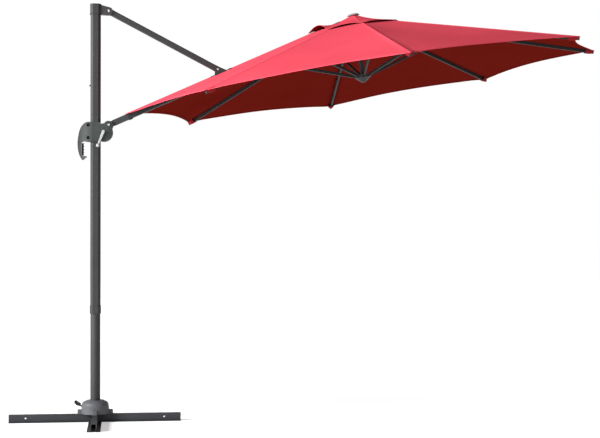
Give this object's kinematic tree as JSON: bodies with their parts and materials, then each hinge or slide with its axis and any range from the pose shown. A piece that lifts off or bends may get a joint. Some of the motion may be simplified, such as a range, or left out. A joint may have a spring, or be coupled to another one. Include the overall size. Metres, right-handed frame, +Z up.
{
  "type": "patio umbrella with base",
  "caption": "Cantilever parasol: eight-sided cloth canopy on an arm and strut from an offset mast, with a slider grip, winding crank, and a turning cross base.",
  "frame": {"origin": "on the ground, on the mast's turning axis, under the crossing of the two base bars", "axes": "+Z is up along the mast, +X runs along the canopy arm away from the mast, and the crank handle is on the -Y side"},
  "size_m": [3.5331, 2.898, 2.456],
  "materials": {
    "frame_paint": "satin anthracite powder coat",
    "rib_metal": "anthracite lacquered thin-wall tube",
    "black_plastic": "fine-grained moulded plastic",
    "grip_grey": "moulded dark grey-green plastic",
    "trigger_black": "smooth black plastic",
    "steel": "zinc-plated steel",
    "cord": "braided polyester cord",
    "canopy_cloth": "plain-weave coral red polyester"
  },
  "bodies": {
    "base": {"cross_bar_x": "frame_paint", "cross_bar_y": "frame_paint", "base_socket": "frame_paint", "base_bolts": "steel", "base_cover": "black_plastic", "lock_bracket": "frame_paint", "thrust_ring": "black_plastic", "pin_spring": "steel"},
    "pedal": {"foot_pedal": "black_plastic"},
    "pin": {"lock_pin": "steel"},
    "mast": {"index_plate": "frame_paint", "mast_tube_lower": "frame_paint", "bearing_sleeve": "black_plastic", "mast_tube_upper": "frame_paint", "mast_collar": "black_plastic", "stop_button": "black_plastic", "top_bracket": "black_plastic", "strut_bolt": "steel"},
    "strut": {"strut_tube": "frame_paint", "strut_ends": "black_plastic"},
    "arm": {"arm_tube": "frame_paint", "arm_root": "black_plastic", "arm_nose": "black_plastic", "arm_brackets": "frame_paint", "bracket_bolts": "steel", "lift_cord": "cord", "gore_1": "canopy_cloth"},
    "slider": {"slider_shell_near": "grip_grey", "slider_shell_far": "grip_grey", "slider_screws": "steel", "arm_bolt": "steel"},
    "trigger": {"grip_trigger": "trigger_black"},
    "crank": {"crank_arm": "steel", "spool": "black_plastic"},
    "knob": {"crank_knob": "trigger_black"},
    "hub": {"top_hub": "black_plastic", "finial": "black_plastic"},
    "runner": {"runner": "black_plastic"},
    "rib_2": {"rib_2": "rib_metal", "gore_2": "canopy_cloth"},
    "rib_3": {"rib_3": "rib_metal", "gore_3": "canopy_cloth"},
    "rib_4": {"rib_4": "rib_metal", "gore_4": "canopy_cloth"},
    "rib_5": {"rib_5": "rib_metal", "gore_5": "canopy_cloth"},
    "rib_6": {"rib_6": "rib_metal", "gore_6": "canopy_cloth"},
    "rib_7": {"rib_7": "rib_metal", "gore_7": "canopy_cloth"},
    "rib_8": {"rib_8": "rib_metal", "gore_8": "canopy_cloth"},
    "stretcher_1": {"stretcher_1": "rib_metal"},
    "stretcher_2": {"stretcher_2": "rib_metal"},
    "stretcher_3": {"stretcher_3": "rib_metal"},
    "stretcher_4": {"stretcher_4": "rib_metal"},
    "stretcher_5": {"stretcher_5": "rib_metal"},
    "stretcher_6": {"stretcher_6": "rib_metal"},
    "stretcher_7": {"stretcher_7": "rib_metal"},
    "stretcher_8": {"stretcher_8": "rib_metal"}
  },
  "joints": [
    {"name": "mast_swivel", "type": "hinge", "parent": "base", "child": "mast", "pos_m": [0, 0, 0.0623], "axis": [0, 0, 1], "continuous": true},
    {"name": "arm_fold", "type": "hinge", "parent": "mast", "child": "strut", "pos_m": [0.078, 0, 2.414], "axis": [0, 1, 0], "range_deg": [-8.3, 52]},
    {"name": "arm_at_strut", "type": "hinge", "parent": "strut", "child": "arm", "pos_m": [0.721, 0, 2.078], "axis": [0, 1, 0], "range_deg": [-104, 16.6]},
    {"name": "slider_pivot", "type": "hinge", "parent": "arm", "child": "slider", "pos_m": [0.078, 0, 1.742], "axis": [0, 1, 0], "range_deg": [-8.3, 52]},
    {"name": "canopy_close", "type": "hinge", "parent": "arm", "child": "hub", "pos_m": [1.50113, 0, 2.37614], "axis": [0, 1, 0], "range_deg": [0, 70.5], "deforming": ["gore_1"]},
    {"name": "rib_2_hinge", "type": "hinge", "parent": "hub", "child": "rib_2", "pos_m": [1.51329, -0.0297, 2.37803], "axis": [0.6987, -0.7071, 0.1084], "range_deg": [0, 70.5], "deforming": ["gore_2"]},
    {"name": "rib_3_hinge", "type": "hinge", "parent": "hub", "child": "rib_3", "pos_m": [1.54263, -0.042, 2.38258], "axis": [0.9882, 0, 0.1533], "range_deg": [0, 70.5], "deforming": ["gore_3"]},
    {"name": "rib_4_hinge", "type": "hinge", "parent": "hub", "child": "rib_4", "pos_m": [1.57198, -0.0297, 2.38713], "axis": [0.6987, 0.7071, 0.1084], "range_deg": [0, 70.5], "deforming": ["gore_4"]},
    {"name": "rib_5_hinge", "type": "hinge", "parent": "hub", "child": "rib_5", "pos_m": [1.58414, 0, 2.38902], "axis": [0, 1, 0], "range_deg": [0, 70.5], "deforming": ["gore_5"]},
    {"name": "rib_6_hinge", "type": "hinge", "parent": "hub", "child": "rib_6", "pos_m": [1.57198, 0.0297, 2.38713], "axis": [-0.6987, 0.7071, -0.1084], "range_deg": [0, 70.5], "deforming": ["gore_6"]},
    {"name": "rib_7_hinge", "type": "hinge", "parent": "hub", "child": "rib_7", "pos_m": [1.54263, 0.042, 2.38258], "axis": [-0.9882, 0, -0.1533], "range_deg": [0, 70.5], "deforming": ["gore_7"]},
    {"name": "rib_8_hinge", "type": "hinge", "parent": "hub", "child": "rib_8", "pos_m": [1.51329, 0.0297, 2.37803], "axis": [-0.6987, -0.7071, -0.1084], "range_deg": [0, 70.5], "deforming": ["gore_8"]},
    {"name": "stretcher_1_hinge", "type": "hinge", "parent": "arm", "child": "stretcher_1", "pos_m": [1.00614, 0, 2.12958], "axis": [0, 1, 0], "range_deg": [0, 141]},
    {"name": "stretcher_2_hinge", "type": "hinge", "parent": "rib_2", "child": "stretcher_2", "pos_m": [1.17081, -0.4023, 2.15513], "axis": [0.6987, -0.7071, 0.1084], "range_deg": [-141, 0]},
    {"name": "stretcher_3_hinge", "type": "hinge", "parent": "rib_3", "child": "stretcher_3", "pos_m": [1.56835, -0.56894, 2.21681], "axis": [0.9882, 0, 0.1533], "range_deg": [-141, 0]},
    {"name": "stretcher_4_hinge", "type": "hinge", "parent": "rib_4", "child": "stretcher_4", "pos_m": [1.9659, -0.4023, 2.2785], "axis": [0.6987, 0.7071, 0.1084], "range_deg": [-141, 0]},
    {"name": "stretcher_5_hinge", "type": "hinge", "parent": "rib_5", "child": "stretcher_5", "pos_m": [2.13057, 0, 2.30405], "axis": [0, 1, 0], "range_deg": [-141, 0]},
    {"name": "stretcher_6_hinge", "type": "hinge", "parent": "rib_6", "child": "stretcher_6", "pos_m": [1.9659, 0.4023, 2.2785], "axis": [-0.6987, 0.7071, -0.1084], "range_deg": [-141, 0]},
    {"name": "stretcher_7_hinge", "type": "hinge", "parent": "rib_7", "child": "stretcher_7", "pos_m": [1.56835, 0.56894, 2.21681], "axis": [-0.9882, 0, -0.1533], "range_deg": [-141, 0]},
    {"name": "stretcher_8_hinge", "type": "hinge", "parent": "rib_8", "child": "stretcher_8", "pos_m": [1.17081, 0.4023, 2.15513], "axis": [-0.6987, -0.7071, -0.1084], "range_deg": [-141, 0]},
    {"name": "runner_slide", "type": "hinge", "parent": "stretcher_5", "child": "runner", "pos_m": [1.63558, 0, 2.05749], "axis": [0, 1, 0], "range_deg": [0, 70.5]},
    {"name": "crank_turn", "type": "hinge", "parent": "slider", "child": "crank", "pos_m": [0.046, -0.03, 1.702], "axis": [0, 1, 0], "range_deg": [0, 3600]},
    {"name": "knob_spin", "type": "hinge", "parent": "crank", "child": "knob", "pos_m": [0.014, -0.062, 1.618], "axis": [0, 1, 0], "continuous": true},
    {"name": "trigger_pull", "type": "slide", "parent": "slider", "child": "trigger", "axis": [-1, 0, 0], "range_m": [0, 0.005], "stiffness_N_per_m": 400, "springref_m": -0.002},
    {"name": "pedal_press", "type": "hinge", "parent": "base", "child": "pedal", "pos_m": [-0.064, 0, 0.0885], "axis": [0, -1, 0], "range_deg": [0, 22], "stiffness_Nm_per_rad": 1, "springref_deg": -17.19},
    {"name": "pin_lift", "type": "slide", "parent": "base", "child": "pin", "axis": [0, 0, 1], "range_m": [0, 0.0076], "deforming": ["pin_spring"]}
  ],
  "couplings": [
    {"joint": "arm_at_strut", "follows": "arm_fold", "ratio": -2},
    {"joint": "slider_pivot", "follows": "arm_fold", "ratio": 1},
    {"joint": "rib_2_hinge", "follows": "canopy_close", "ratio": 1},
    {"joint": "rib_3_hinge", "follows": "canopy_close", "ratio": 1},
    {"joint": "rib_4_hinge", "follows": "canopy_close", "ratio": 1},
    {"joint": "rib_5_hinge", "follows": "canopy_close", "ratio": 1},
    {"joint": "rib_6_hinge", "follows": "canopy_close", "ratio": 1},
    {"joint": "rib_7_hinge", "follows": "canopy_close", "ratio": 1},
    {"joint": "rib_8_hinge", "follows": "canopy_close", "ratio": 1},
    {"joint": "stretcher_1_hinge", "follows": "canopy_close", "ratio": 2},
    {"joint": "stretcher_2_hinge", "follows": "canopy_close", "ratio": -2},
    {"joint": "stretcher_3_hinge", "follows": "canopy_close", "ratio": -2},
    {"joint": "stretcher_4_hinge", "follows": "canopy_close", "ratio": -2},
    {"joint": "stretcher_5_hinge", "follows": "canopy_close", "ratio": -2},
    {"joint": "stretcher_6_hinge", "follows": "canopy_close", "ratio": -2},
    {"joint": "stretcher_7_hinge", "follows": "canopy_close", "ratio": -2},
    {"joint": "stretcher_8_hinge", "follows": "canopy_close", "ratio": -2},
    {"joint": "runner_slide", "follows": "canopy_close", "ratio": 1},
    {"joint": "crank_turn", "follows": "canopy_close", "ratio": 51.063},
    {"joint": "pin_lift", "follows": "pedal_press", "m_per_rad": 0.0195}
  ]
}
